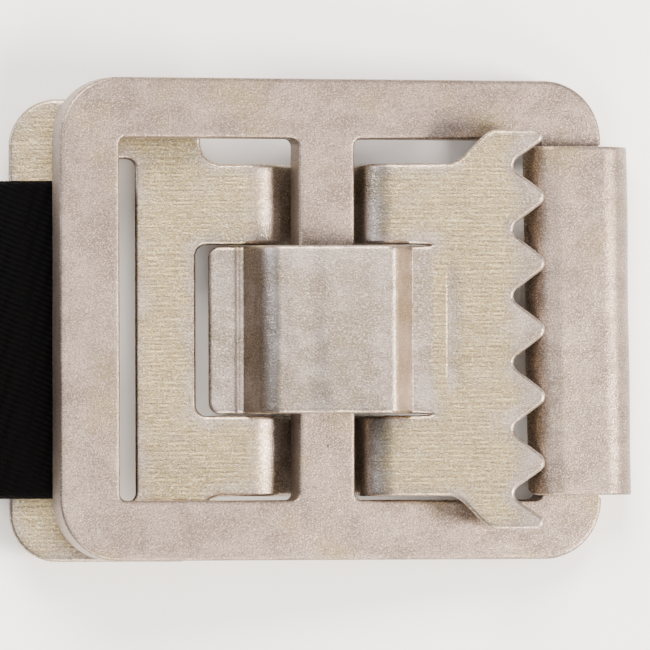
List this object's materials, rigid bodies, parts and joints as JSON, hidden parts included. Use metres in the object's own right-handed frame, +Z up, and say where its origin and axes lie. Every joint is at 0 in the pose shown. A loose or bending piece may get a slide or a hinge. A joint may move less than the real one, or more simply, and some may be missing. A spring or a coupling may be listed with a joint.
{
  "type": "webbing tension buckle",
  "caption": "Stamped aluminium strap buckle: a toothed lever hooked round the centre bar of a frame with a rolled bearing bar, sewn on a webbing strap.",
  "frame": {"origin": "on the floor, under the middle of the whole assembly's box at rest", "axes": "+X from the rolled-up strap to the toothed end, +Y across the webbing, +Z up"},
  "size_m": [0.1114, 0.0386, 0.036],
  "materials": {
    "tumbled_aluminium": "stamped and tumbled, satin with fine sparkle",
    "rolled_aluminium": "mill finish with short rolling streaks along X",
    "black_webbing": "woven, ribbed across",
    "black_thread": "twisted sewing thread"
  },
  "bodies": {
    "strap": {"webbing_tail": "black_webbing", "webbing_roll": "black_webbing", "box_stitching": "black_thread"},
    "lever": {"toothed_lever": "rolled_aluminium", "webbing_loop": "black_webbing"},
    "frame": {"frame": "tumbled_aluminium"}
  },
  "joints": [
    {"name": "lever_swing", "type": "hinge", "parent": "strap", "child": "lever", "pos_m": [0.00035, -0.00155, 0.0015], "axis": [0, -1, 0], "range_deg": [-75, 75]},
    {"name": "frame_pivot", "type": "hinge", "parent": "lever", "child": "frame", "pos_m": [0.03035, -0.0008, 0.00572], "axis": [0, 1, 0], "range_deg": [0, 90]}
  ]
}
